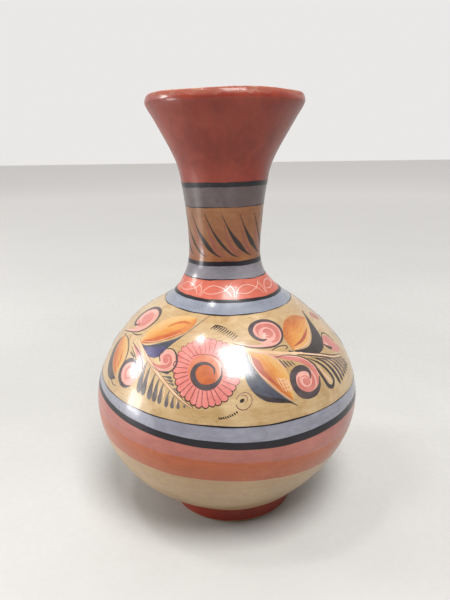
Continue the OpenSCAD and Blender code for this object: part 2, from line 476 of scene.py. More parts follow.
# The two neck greys are the grey slip painted darker: partly the bands' own darker grey, partly painted
# shade for the neck's upright wall, which takes less light than the belly.
NECK_GREY_WITH_PAINTED_SHADE = burnished("neck grey slip with painted shade", "544644", "42383a", "685c5e", coat=0.4, gloss=0.3)
LOW_NECK_GREY = burnished("lower neck grey slip with painted shade", "6c686e", "58545a", "807c82", coat=0.5, gloss=0.35)
TAN = burnished("tan slip", "84542e", "6c4022", "966a40", coat=0.4, low=(188, 224, "6e3420"), gloss=0.3)
CORAL = burnished("coral slip", "ac5444", "98452f", "c06e5c", (0.34, 0.5), 0.3, gloss=0.3)
OCHRE = burnished("ochre slip", "a88e68", "8c6e42", "bfaa86", blotch=0.85)
ROSE = burnished("rose slip", "9e5c4e", "8a4a42", "ae6f64", (0.3, 0.46), 0.5)
ORANGE = burnished("orange slip", "a44f24", "8e421c", "b2643e", (0.3, 0.46), 0.45, gloss=0.4)
CREAM = burnished("cream slip", "a98b63", "977952", "b99c78", (0.34, 0.5), 0.35)
BLACK = burnished(
    "black slip", "17141a", "0f0c10", "2c2830", (0.3, 0.44), 0.3, 0.5, gloss=0.2, fleck="777278",
)
CLAY_RAW = raw_clay("raw clay")


# ---------------------------------------------------------------- clay and coats

def warped_copy(node):
    """A clay section at its place, with the pot's unevenness."""
    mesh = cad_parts[node].data.copy()
    soup = bmesh.new()
    soup.from_mesh(mesh)
    bmesh.ops.remove_doubles(soup, verts=soup.verts, dist=1e-7)
    soup.to_mesh(mesh)
    soup.free()
    spots = np.empty(len(mesh.vertices) * 3)
    mesh.vertices.foreach_get("co", spots)
    spots = spots.reshape(-1, 3) / MM
    spots = np.stack(uneven(*spots.T), -1) * MM
    mesh.vertices.foreach_set("co", spots.ravel())
    return make_object(node + "_clay", mesh)


for node in CLAY:
    dress(warped_copy(node), CLAY_RAW, "clay", node)


def edge(base, tilt=0.0, bow=0.0, wobble=0.12, seed=0.0):
    """A hand-painted edge round the vase: its mean way up, its tilt to the right and its bow."""
    def height(phi):
        shake = np.sin(5 * phi + seed) + 0.6 * np.sin(11 * phi + 2.3 * seed) + 0.4 * np.sin(23 * phi + seed)
        return base + tilt * np.sin(phi) + bow * np.cos(2 * phi) + wobble * shake
    return height


FOOT = edge(REACH[0] - ZERO + 0.1, wobble=0)
CREAM_TOP = edge(top_of("cream_band") + 1.4, -6.8, 1.1, 0.25, 1.0)
ORANGE_TOP = edge(top_of("orange_band") + 2.0, -6.4, -0.2, 0.25, 2.0)
BELLY_LINE_LOW = edge(line_at("belly_line") - 0.1, -5.3, -2.8, 0.12, 3.0)
BELLY_LINE_HIGH = edge(line_at("belly_line") + 4.4, -4.5, -2.5, 0.14, 3.6)
FIELD_BASE = edge(1.1, -2.6, -1.4, 0.15, 4.0)
FIELD_TOP = edge(line_at("field_top_line"), -0.6, -0.8, 0.15, 5.0)
CORAL_LOW = edge(line_at("coral_base_line") - 1.2, -0.5, -0.3, 0.12, 6.0)
CORAL_HIGH = edge(line_at("coral_base_line") + 1.3, -0.6, -0.2, 0.16, 6.6)
CORAL_TOP = edge(line_at("coral_top_line") + 0.4, 0.0, 0.5, 0.14, 7.0)
NECK_LOW = edge(line_at("neck_base_line") - 1.3, 0.2, 0.2, 0.12, 8.0)
NECK_HIGH = edge(line_at("neck_base_line") + 1.8, 0.5, 0.3, 0.12, 8.6)
NECK_TOP = edge(line_at("neck_top_line") + 0.8, 0.5, 0.2, 0.12, 9.0)
FLARE_LOW = edge(line_at("flare_line") - 0.7, 0.5, 0.4, 0.12, 10.0)
FLARE_HIGH = edge(line_at("flare_line") + 2.6, 0.5, 0.3, 0.14, 10.6)
LIP = float(REACH[LIP_TOP]) - ZERO
LINING = edge(LIP + 34, wobble=0.8, seed=11.0)


def halfway(low, high):
    """The edge midway between two others, under a painted line."""
    return lambda phi: (low(phi) + high(phi)) / 2


BELLY_MID = halfway(BELLY_LINE_LOW, BELLY_LINE_HIGH)
CORAL_MID = halfway(CORAL_LOW, CORAL_HIGH)
NECK_MID = halfway(NECK_LOW, NECK_HIGH)
FLARE_MID = halfway(FLARE_LOW, FLARE_HIGH)


def chips(phi, s):
    """How deep the slip is chipped away near the lip, in millimetres."""
    knocks = np.sin(9 * phi + 1.0) * np.sin(23 * phi + 0.4) * np.sin(5 * phi + 2.2 + s / 6)
    ragged = 0.35 * np.sin(61 * phi + s * 1.9) * np.sin(37 * phi - s * 1.1)
    near = np.exp(-0.5 * ((s - LIP + 2.2) / 2.2) ** 2)
    rubbed = np.exp(-0.5 * ((s - LIP) / 1.6) ** 2) * (0.4 + 0.4 * np.sin(7 * phi + 0.8) * np.sin(3 * phi))
    return 0.14 * np.clip(1.1 * near * (knocks + ragged) + 0.6 * rubbed, 0, 1)


for name, low, high, step, sink, material, slot, node in [
    ("cream", FOOT, CREAM_TOP, 1.2, None, CREAM, "cream_slip", "cream_band"),
    ("orange", CREAM_TOP, ORANGE_TOP, 1.0, None, ORANGE, "orange_slip", "orange_band"),
    ("rose", ORANGE_TOP, BELLY_MID, 1.0, None, ROSE, "rose_slip", "rose_band"),
    ("belly_grey", BELLY_MID, FIELD_BASE, 1.0, None, GREY, "grey_slip", "belly_grey_band"),
    ("field", FIELD_BASE, FIELD_TOP, 1.0, None, OCHRE, "ochre_slip", "painted_field"),
    ("shoulder_grey", FIELD_TOP, CORAL_MID, 1.0, None, SHOULDER_GREY, "grey_slip", "shoulder_grey_band"),
    ("coral", CORAL_MID, CORAL_TOP, 1.0, None, CORAL, "coral_slip", "coral_band"),
    ("lower_neck_grey", CORAL_TOP, NECK_MID, 1.0, None, LOW_NECK_GREY, "grey_slip", "lower_neck_grey_band"),
    ("leaf_band", NECK_MID, NECK_TOP, 1.0, None, TAN, "tan_slip", "leaf_band"),
    ("upper_neck_grey", NECK_TOP, FLARE_MID, 1.0, None, NECK_GREY_WITH_PAINTED_SHADE, "grey_slip", "upper_neck_grey_band"),
    ("flare", FLARE_MID, LINING, 0.8, chips, TERRACOTTA, "terracotta_slip", "flare_slip"),
]:
    dress(shell(name + "_coat", low, high, 0, -COAT, step, sink), material, slot, node)

for name, low, high in [
    ("belly_line", BELLY_LINE_LOW, BELLY_LINE_HIGH),
    ("coral_base_line", CORAL_LOW, CORAL_HIGH),
    ("neck_base_line", NECK_LOW, NECK_HIGH),
    ("flare_line", FLARE_LOW, FLARE_HIGH),
]:
    dress(shell(name + "_paint", low, high, BAND_LINE_RISE, LINE_ROOT, 0.6), BLACK, "black_slip", name)


def thin_line(base, width, seed):
    """The two edges of a brush line whose width swells and fades round the vase."""
    def half(phi):
        return width * (0.5 + 0.2 * np.sin(3 * phi + seed) + 0.14 * np.sin(13 * phi + 2 * seed))
    return (lambda phi: base(phi) - half(phi)), (lambda phi: base(phi) + half(phi))


for name, base, width, seed in [
    ("field_base_line", FIELD_BASE, 0.7, 1.0),
    ("field_top_line", FIELD_TOP, 0.75, 2.0),
    ("coral_top_line", CORAL_TOP, 0.6, 3.0),
    ("neck_top_line", NECK_TOP, 0.45, 4.0),
]:
    low, high = thin_line(base, width, seed)
    dress(shell(name + "_paint", low, high, THIN_LINE_RISE, LINE_ROOT, 0.4), BLACK, "black_slip", name)


def foot_coat():
    """The foot ring's red slip, stopped short of the ground."""
    low, high = box_mm("foot_slip")
    phi = np.arange(SEGMENTS) / SEGMENTS * TAU
    rows = 14
    share = np.linspace(0, 1, rows)[:, None]
    z = low[2] + share * (high[2] - low[2]) + 0.25 * np.sin(6 * phi) * (1 - share)
    r = high[0] - 0.7 * (1 - share) + 0 * phi
    outer = np.stack(uneven(r * np.sin(phi), -r * np.cos(phi), z), -1)
    inner = np.stack(uneven((r - COAT) * np.sin(phi), -(r - COAT) * np.cos(phi), z), -1)
    points = np.concatenate([outer, inner[::-1]]).reshape(-1, 3) * MM
    obj = from_faces("foot_coat", points, ring_faces(2 * rows, SEGMENTS))
    far_from_lip = -60.0
    give_numbers(obj, "worn", np.zeros(len(points)))
    give_numbers(obj, "way", np.full(len(points), far_from_lip))
    return obj


dress(foot_coat(), TERRACOTTA, "terracotta_slip", "foot_slip")


# ---------------------------------------------------------------- brush paints

def brushed(name, base, streak, edge_tint, rough=0.3, coat=0.6, middle=None, gloss=0.45):
    """One colour of painted slip, thicker and thinner along the brush's way.

    middle is a row of colours that the paint runs through from one side of a mark to the other.
    """
    n = Nodes(name)
    n.shine(gloss, coat, 0.16)
    grain = n.add("ShaderNodeCombineXYZ")
    for axis, number, scale in (("X", "along", 0.16), ("Y", "across", 1.6), ("Z", "shade", 9.0)):
        n.link(n.times(n.read(number), scale), grain.inputs[axis])
    hairs = n.noise(grain.outputs["Vector"], 1.0, 4, 0.65, 0.3)
    cloud = n.noise(n.position, 90, 3, 0.6, 0.3)
    fine = n.noise(n.position, 700, 2, 0.7)
    tint = n.over(colour(base), streak, hairs, 0.34, 0.7)
    if middle:
        share = n.remap(n.read("tone"), 0.0, 1.0, 0, 1)
        share = n.plus(share, n.remap(hairs, 0.3, 0.7, -0.22, 0.22))
        ramp = n.add("ShaderNodeValToRGB")
        stops = ramp.color_ramp.elements
        stops[0].color = colour(middle[0])
        stops[1].color = colour(middle[-1])
        for k, text in enumerate(middle[1:-1]):
            stops.new((k + 1) / (len(middle) - 1)).color = colour(text)
        n.link(share, ramp.inputs["Fac"])
        tint = n.mix(0.85, tint, ramp.outputs["Color"])
    tint = n.over(tint, edge_tint, cloud, 0.45, 0.75, 0.5)
    tint = n.over(tint, streak, fine, 0.5, 0.75, 0.18)
    dull = n.remap(cloud, 0.3, 0.7, rough - 0.04, rough + 0.1)
    dull = n.plus(dull, n.remap(fine, 0.3, 0.8, -0.03, 0.05))
    height = n.plus(hairs, n.times(fine, 0.4))
    return n.finish(tint, dull, height, 0.3, 0.0002)


PINK = brushed("petal pink", "bb7067", "a8564f", "cb877d")
ROSY = brushed("scroll pink", "a8645a", "985048", "ba7a6e")
PALE_PINK = brushed("pale scroll pink", "bc8a7e", "ae7468", "cc9c90")
COLLAR = brushed("daisy collar", "b06a4a", "9c5030", "b88672")
LEAF = brushed(
    "leaf orange", "a8692e", "8c4a1c", "b4803c",
    middle=("a46c34", "944416", "a66022", "b27a34", "b48a4e", "b69868"),
)
GLOW = brushed("leaf glow", "a4501e", "8c3e14", "b06a30")
BERRY = brushed("leaf berry", "904028", "7c321c", "a0563c")
CORE = brushed("daisy core", "a04e1e", "883a12", "b06632")
SLATE = brushed("slate", "3c3e4a", "28262c", "545a6c")
CHARCOAL = brushed("charcoal", "463a3b", "2c2426", "605252", coat=0.45, gloss=0.35)
VIOLET = brushed("violet", "443e60", "322c4a", "66608a")
INK = brushed("ink", "241914", "160e0c", "3a2a24", 0.34, 0.4, gloss=0.25)
UMBER = brushed("umber", "7a4a22", "663a16", "8c5c34", 0.34)
DUSK = brushed("dusk", "2e2625", "1c1717", "4c4242", 0.34, 0.45, gloss=0.3)
SEPIA = brushed("sepia", "6a3430", "4a221f", "80504c", 0.34)
WHITE = brushed("pale line", "c6a48c", "b48e78", "d6baa6", 0.36)
GLEAM = brushed("gleam pink", "c4988c", "b2847a", "d2ac9e", 0.36)
FROND = brushed("fern grey", "5a5453", "423c3c", "787070")
STEM = brushed("stem", "bc9c7c", "ac8866", "ccb296", 0.34)
CORAL_WASH = brushed("coral wash", "7a3a26", "6a2e1a", "86442e")


def flow(knots, count):
    """Evenly spaced points on a smooth curve through a few knots; columns after the first two come along."""
    knots = np.asarray(knots, float)
    gaps = np.hypot(*np.diff(knots[:, :2], axis=0).T)
    t = np.r_[0, np.cumsum(np.sqrt(gaps))]
    slope = np.gradient(knots, t, axis=0)
    fine = np.linspace(0, t[-1], 24 * len(knots))
    k = np.clip(np.searchsorted(t, fine, "right") - 1, 0, len(t) - 2)
    step = (t[k + 1] - t[k])[:, None]
    u = (fine - t[k])[:, None] / step
    curve = (
        knots[k] * (2 * u**3 - 3 * u**2 + 1) + slope[k] * step * (u**3 - 2 * u**2 + u)
        + knots[k + 1] * (3 * u**2 - 2 * u**3) + slope[k + 1] * step * (u**3 - u**2)
    )
    reach = np.r_[0, np.cumsum(np.hypot(*np.diff(curve[:, :2], axis=0).T))]
    even = np.linspace(0, reach[-1], count)
    return np.stack([np.interp(even, reach, curve[:, c]) for c in range(curve.shape[1])], 1)


def length_of(points):
    return float(np.sum(np.hypot(*np.diff(np.asarray(points, float)[:, :2], axis=0).T)))


class Paint:
    """Brush marks of one slip round one middle line, gathered into one piece.

    x and s are millimetres round and up the wall from the middle line at the field's foot.
    """

    def __init__(self, name, material, slot, turn, level, sway=0.0):
        self.name = name
        self.material = material
        self.slot = slot
        self.middle = math.radians(turn)
        self.top = MARK_RISE + LEVEL_RISE * level
        self.sway = sway
        self.points = []
        self.faces = []
        self.marks = []
        self.count = 0

    def sheet(self, left, right, tone=(0.0, 1.0)):
        """A thin closed solid between two edges of as many points, its tone running from left to right."""
        left = np.asarray(left, float)[:, :2].copy()
        right = np.asarray(right, float)[:, :2].copy()
        gap = right - left
        size = np.hypot(*gap.T)
        way = gap / np.maximum(size, 1e-9)[:, None]
        widest = way[int(np.argmax(size))]
        way = np.where((size > LEAST * 0.5)[:, None], way, widest)
        thin = size < LEAST
        centre = (left + right) / 2
        left[thin] = centre[thin] - way[thin] * LEAST / 2
        right[thin] = centre[thin] + way[thin] * LEAST / 2
        rows = len(left)
        columns = max(2, int(size.max() / COLUMN_STEP) + 2)
        v = np.linspace(0, 1, columns)[None, :, None]
        grid = left[:, None] * (1 - v) + right[:, None] * v
        x = grid[..., 0]
        s = grid[..., 1]
        x = x + self.sway * (np.sin(s / 9.0) + np.sin(x / 13.0))
        s = s + self.sway * 0.6 * np.sin(x / 11.0 + 1.0)
        phi = self.middle + x / radius(s)
        start = sum(len(p) for p in self.points)
        self.points.append(place(phi, s, self.top).reshape(-1, 3))
        self.points.append(place(phi, s, MARK_ROOT).reshape(-1, 3))
        self.count += 1
        own_shade = (self.count * 0.618) % 1
        along = np.linspace(0, length_of(centre), rows)[:, None] + 0 * v[..., 0]
        across = v[..., 0] * size[:, None]
        tones = tone[0] + (tone[1] - tone[0]) * v[..., 0] + 0 * along
        for values in (along, across, np.full_like(along, own_shade), tones):
            values = values.ravel()
            self.marks.append(np.concatenate([values, values]))
        index = np.arange(rows * columns).reshape(rows, columns)
        turning = (gap[:-1, 0] * np.diff(centre[:, 1]) - gap[:-1, 1] * np.diff(centre[:, 0])).sum()
        a, b, c, e = index[:-1, :-1], index[:-1, 1:], index[1:, 1:], index[1:, :-1]
        quads = np.stack([a, b, c, e], -1).reshape(-1, 4)
        rim = np.concatenate([index[0], index[1:, -1], index[-1, -2::-1], index[-2:0:-1, 0]])
        if turning < 0:
            quads = quads[:, ::-1]
            rim = rim[::-1]
        under = rows * columns
        after = np.roll(rim, -1)
        walls = np.stack([rim + under, after + under, after, rim], -1)
        for part in (quads, quads[:, ::-1] + under, walls):
            self.faces += (part + start).tolist()

    def brush(self, knots):
        """One stroke: knots are (x, s, width)."""
        count = max(7, int(length_of(knots) / STROKE_STEP) + 2)
        line = flow(knots, count)
        way = np.gradient(line[:, :2], axis=0)
        way /= np.maximum(np.hypot(*way.T), 1e-9)[:, None]
        side = np.stack([-way[:, 1], way[:, 0]], 1)
        reach = np.linspace(0, length_of(line), count)
        shake = 1 + 0.05 * np.sin(reach * 0.5 + self.count) + 0.05 * np.sin(reach * 0.21 + 2.0 * self.count)
        half = 0.5 * (np.maximum(line[:, 2], LEAST) * shake)[:, None]
        self.sheet(line[:, :2] + side * half, line[:, :2] - side * half)

    def leaf(self, first, second, tone=(0.0, 1.0)):
        """A filled shape between two edges that share both ends."""
        count = max(8, int(max(length_of(first), length_of(second)) / LEAF_STEP) + 2)
        self.sheet(flow(first, count), flow(second, count), tone)

    def oval(self, x, s, wide, high, tilt=0.0):
        """A filled oval of the given half sizes, turned by tilt degrees."""
        t = np.linspace(0, math.pi, max(8, int((wide + high) * 1.6)))
        c, n = math.cos(math.radians(tilt)), math.sin(math.radians(tilt))
        edges = []
        for sign in (1, -1):
            u = -wide * np.cos(t)
            w = sign * high * np.sin(t)
            edges.append(np.stack([x + u * c - w * n, s + u * n + w * c], 1))
        self.sheet(edges[0], edges[1])

    def done(self):
        """Makes the marks into one piece."""
        obj = from_faces(self.name, np.concatenate(self.points), self.faces)
        names = ("along", "across", "shade", "tone")
        for k, name in enumerate(names):
            give_numbers(obj, name, np.concatenate(self.marks[k::len(names)]))
        return dress(obj, self.material, self.slot)


class Motif:
    """The paints of one painted motif, made into pieces in the order they were taken up."""

    def __init__(self, side, turn, sway):
        self.side = side
        self.turn = turn
        self.sway = sway
        self.paints = []

    def paint(self, name, material, slot, level):
        """A paint whose marks lie on the given layer, 0 the lowest."""
        mark = Paint(self.side + "_" + name, material, slot, self.turn, level, self.sway)
        self.paints.append(mark)
        return mark

    def done(self):
        for mark in self.paints:
            mark.done()


def coil(x, s, first, last, start, sweep, width, squash=1.0):
    """Knots of a spiral round a point, from the first radius to the last; angles in degrees."""
    t = np.linspace(0, 1, 13)
    a = np.radians(start + sweep * t)
    r = first + (last - first) * t
    w = width * np.sin(math.pi * np.clip(t, 0.02, 0.98)) ** 0.6
    return np.stack([x + r * np.cos(a), s + squash * r * np.sin(a), w], 1)


def feather(paint, top, foot, wide, bow):
    """A stroke that starts as a hair, bows to one side, swells and ends round."""
    knots = []
    for share, swell in ((0, 0.12), (0.3, 0.42), (0.58, 0.8), (0.82, 1.0), (0.94, 0.86), (1, 0.3)):
        lean = bow * math.sin(math.pi * share ** 0.8)
        x = top[0] + share * (foot[0] - top[0]) + lean
        s = top[1] + share * (foot[1] - top[1]) + 0.5 * abs(lean)
        knots.append((x, s, swell * wide))
    paint.brush(knots)


def whorl(fill, rose, pale, x, s, size, start, way=1, squash=1.0):
    """The inside of a scroll: a pale disc, a rose band curling in round a rose eye, and a pale line beside
    it.
    """
    fill.oval(x, s, size, size * squash)
    rose.brush(coil(x, s, 0.74 * size, 0.6 * size, start, 285 * way, 0.36 * size, squash))
    rose.oval(x, s, 0.4 * size, 0.4 * size * squash)
    pale.brush(coil(x, s, 0.52 * size, 0.2 * size, start + 60 * way, 330 * way, 0.085 * size, squash))


# ---------------------------------------------------------------- the painted field

# The middle lines of the groups, in degrees to the right of the front
DAISY_TURN = -12
LEFT_TURN = -55
RIGHT_TURN = 38


def daisy(side, turn, sway):
    """The big flower: a ring of petals, a pale collar, a dark swirl and an orange heart."""
    motif = Motif(side, turn + DAISY_TURN, sway)
    petals = motif.paint("daisy_petals", PINK, "petal_slip", 0)
    lines = motif.paint("daisy_petal_lines", SEPIA, "black_slip", 2)
    tips = motif.paint("daisy_petal_tips", INK, "black_slip", 3)
    collar = motif.paint("daisy_collar", COLLAR, "petal_slip", 1)
    blush = motif.paint("daisy_collar_blush", PALE_PINK, "petal_slip", 2)
    heart = motif.paint("daisy_heart", CORE, "leaf_slip", 3)
    swirl = motif.paint("daisy_swirl", CHARCOAL, "slate_slip", 4)
    count = 32
    centre_x = 4
    centre_s = 33.3
    root = 9.5
    spread = 22.3
    pitch = TAU / count
    for k in range(count):
        a = k * pitch + 0.012 * math.sin(k * 2.1)
        outer = spread + 0.5 * math.sin(a * 2 - 2.0) + 0.35 * math.sin(k * 1.7)
        tip = outer * pitch * 0.5
        b = np.linspace(0, math.pi / 2, 8)
        reach = np.r_[np.linspace(root, outer - tip, 9)[:-1], outer - tip + tip * np.sin(b)]
        half = np.r_[np.full(8, pitch * 0.52), 0.52 * pitch * np.cos(b)]
        swing = a + 0.006 * (reach - root)
        edges = []
        for sign in (1, -1):
            way = swing + sign * half
            edges.append(np.stack([centre_x + reach * np.cos(way), centre_s + reach * np.sin(way)], 1))
        petals.sheet(edges[0], edges[1])
        low = 0.5 - 0.5 * math.sin(a + 0.3)
        width = 0.3 + 0.14 * low
        lines.brush(np.c_[edges[0], np.full(len(reach), width)][2:10:2])
        end = np.concatenate([edges[0][-7:], edges[1][-2:-8:-1]])
        thick = np.r_[np.linspace(width, width + 0.22 * low, 7), np.linspace(width + 0.2 * low, width, 6)]
        (tips if low > 0.55 else lines).brush(np.c_[end, thick][::2])
    collar.oval(centre_x, 33, 11.4, 11.4)
    blush.leaf(
        [(6, 43.6), (12, 39.8), (14.8, 33), (13, 26)],
        [(6, 43.6), (10.8, 38.8), (12.6, 33), (13, 26)],
    )
    heart.oval(4.2, 31.0, 7.0, 6.9, 20)
    swirl.brush([
        (13.4, 36.5, 0.4), (13.9, 31.5, 1.1), (12.0, 26.8, 2.4), (7.5, 23.6, 3.4), (2.0, 23.4, 3.8),
        (-2.5, 26.5, 3.7), (-4.2, 31.5, 3.3), (-2.3, 36.1, 2.6), (2.0, 38.4, 1.9), (6.2, 37.6, 1.6),
        (9.0, 34.8, 1.3), (9.3, 31.5, 0.7),
    ])
    lines.brush([(-5.6, 42.5, 0.25), (0, 44.4, 0.45), (7, 44.0, 0.45), (12.5, 40.5, 0.4), (15, 35, 0.3)])
    motif.done()


def upper_leaf(side, turn, sway):
    """The long leaf at the upper left of the daisy, cupped by a dark sepal."""
    motif = Motif(side, turn + DAISY_TURN, sway)
    body = motif.paint("upper_leaf", LEAF, "leaf_slip", 1)
    blush = motif.paint("upper_leaf_blush", GLOW, "leaf_slip", 2)
    cup = motif.paint("upper_sepal", SLATE, "slate_slip", 0)
    rim = motif.paint("upper_leaf_rim", WHITE, "white_slip", 3)
    shade = motif.paint("upper_sepal_shade", VIOLET, "slate_slip", 1)
    lower = [(-50, 43), (-40, 45.3), (-30, 49.6), (-20, 54.5), (-13, 59.5), (-9.5, 66), (-10, 71)]
    upper = [(-50, 43), (-46.5, 51), (-41, 58), (-34, 64.5), (-25, 69.5), (-16, 72), (-10, 71)]
    body.leaf(lower, upper, tone=(0.12, 1.15))
    blush.brush([(-29, 60, 0.3), (-23, 64.4, 1.6), (-17, 66.5, 1.8), (-12.5, 66, 0.4)])
    blush.brush([(-47, 45.4, 0.4), (-38, 48.2, 2.6), (-28, 53, 3.2), (-20, 58, 2.4), (-15, 62.5, 0.4)])
    cup.leaf(
        [(-51, 43.4), (-44, 43.0), (-36, 45.5), (-28, 49), (-20, 53), (-13, 58.5), (-8.5, 65), (-2, 74.3)],
        [
            (-51, 43.0), (-44, 40.0), (-36, 38.8), (-28, 42), (-20, 50), (-13.5, 57.2), (-8.2, 64.4),
            (-1.8, 74.1),
        ],
    )
    shade.leaf(
        [(-45, 41.4), (-38, 43.2), (-30, 45.2), (-24, 46)],
        [(-45, 40.6), (-38, 36.6), (-30, 38.4), (-24, 46)],
    )
    rim.brush([(-46, 45.0, 0.2), (-36, 47.4, 0.35), (-26, 52.3, 0.3), (-17, 57.5, 0.2)])
    motif.done()


def little_curl(side, turn, sway):
    """The small pink curl under the sepal, at the daisy's left."""
    motif = Motif(side, turn + DAISY_TURN, sway)
    body = motif.paint("curl_body", PALE_PINK, "rose_slip", 1)
    core = motif.paint("curl_core", ROSY, "petal_slip", 2)
    pale = motif.paint("curl_gleam", GLEAM, "white_slip", 3)
    lines = motif.paint("curl_line", CHARCOAL, "black_slip", 4)
    body.brush([
        (-46, 41.5, 0.5), (-40, 36.5, 1.8), (-33, 32, 3.0), (-26.5, 31.2, 3.6), (-20.5, 33.2, 3.2),
        (-18.3, 38, 3.0), (-20, 42.6, 2.6), (-24, 43.2, 2.2), (-26.8, 40.4, 1.2),
    ])
    body.oval(-23.0, 37.6, 6.0, 6.6, 20)
    core.brush([
        (-36, 33.6, 0.4), (-29.5, 32.2, 1.6), (-23.5, 33.2, 2.6), (-20.4, 37, 2.8), (-22, 40.6, 2.4),
        (-24.6, 40.2, 1.2),
    ])
    core.oval(-23.6, 37.4, 2.6, 3.6, 20)
    pale.brush([
        (-27.4, 38.4, 0.3), (-26.6, 35.6, 0.6), (-23.4, 34.6, 0.6), (-21.4, 37.2, 0.5), (-22.6, 39.4, 0.3),
    ])
    lines.brush([
        (-44, 38.4, 0.2), (-37, 32.6, 0.3), (-30, 29.6, 0.35), (-23, 29.2, 0.45), (-18, 32, 0.9),
        (-15.8, 37, 1.2), (-16.8, 42.2, 1.1), (-20, 45.4, 0.7), (-25, 45, 0.4),
    ])
    lines.brush([(-27.2, 43.8, 0.3), (-29.4, 39.8, 0.8), (-28.4, 35.4, 0.4)])
    motif.done()


def fern(side, turn, sway):
    """The stem with hanging feather strokes at the lower left, and short strokes above it."""
    motif = Motif(side, turn + DAISY_TURN, sway)
    strokes = motif.paint("fern_strokes", FROND, "black_slip", 1)
    gleams = motif.paint("fern_gleams", WHITE, "white_slip", 2)
    stalk = motif.paint("fern_stem", STEM, "cream_slip", 3)
    lines = motif.paint("fern_stem_lines", SEPIA, "black_slip", 4)
    stem = [(-52, 43.5), (-41, 36), (-33, 30.5), (-26, 25.5), (-19, 20.3), (-12, 15.5), (-3, 10.2)]
    along = flow(stem, 41)
    stalk.brush([(x, s, 3.8 - 0.52 * k) for k, (x, s) in enumerate(stem)])
    for gap in (1.4, -1.3):
        lines.brush([(x + 0.6 * gap, s + 1.2 * gap * (1 - k / 6.5), 0.22) for k, (x, s) in enumerate(stem)])
    for k in range(9):
        top = along[int(40 * (0.28 + 0.66 * (k / 8) ** 0.95))]
        drop = 19.5 * (1 - k / 8) ** 0.8 + 2.4
        foot = (top[0] - 4.4 + 0.5 * k, top[1] - drop)
        feather(strokes, (top[0] - 0.6, top[1] - 0.8), foot, 4.3 - 0.33 * k, -0.5)
        if k < 7:
            feather(gleams, (top[0] + 1.6, top[1] - 1.6), (foot[0] + 3.1, foot[1] + 0.3 * drop), 0.5, -0.4)
    for k in range(6):
        top = along[int(40 * (0.47 + 0.06 * k))]
        foot = (top[0] + 9.6 - 1.3 * k, top[1] + 1.0 - 0.25 * k)
        feather(strokes, (top[0] + 1.2, top[1] + 0.8), foot, 1.9 - 0.15 * k, 0.2)
    motif.done()


def ticks(side, turn, sway):
    """Rows of small ticks and the dotted ring beside the daisy."""
    motif = Motif(side, turn + DAISY_TURN, sway)
    lines = motif.paint("ticks", INK, "black_slip", 1)
    ring = motif.paint("dotted_ring", SEPIA, "black_slip", 1)
    for k in range(11):
        x = 4.6 + 1.62 * k
        s = 66.6 - 0.035 * (k + 1) ** 2 - 0.42 * k
        size = 1.25 - 0.06 * k
        lines.brush([
            (x, s, 0.5), (x - 0.5, s - 0.9, size), (x - 1.5, s - 2.2, 0.6 * size), (x - 2.9, s - 3.6, 0.15),
        ])
    lines.brush([(3, 64.4, 0.2), (5, 66.0, 0.9), (9, 65.2, 0.6), (13, 63.4, 0.2)])
    for k in range(9):
        x = 14.4 + 1.3 * k
        s = 4.9 + 0.055 * k * k
        lines.brush([(x - 0.3, s + 0.8, 0.25), (x + 0.25, s, 0.85), (x + 1.0, s - 0.5, 0.25)])
    ring.brush([(24.8, 12.6, 0.25)] + [
        (28.8 + 5.0 * math.cos(a), 14.8 + 5.2 * math.sin(a), 0.42) for a in np.linspace(3.5, 9.2, 15)
    ])
    ring.brush([(26.6, 18.4, 0.25), (29.4, 18.2, 0.35), (31, 15.6, 0.35), (29.6, 13.4, 0.25)])
    lines.oval(27.6, 15.2, 1.5, 1.15, 30)
    motif.done()


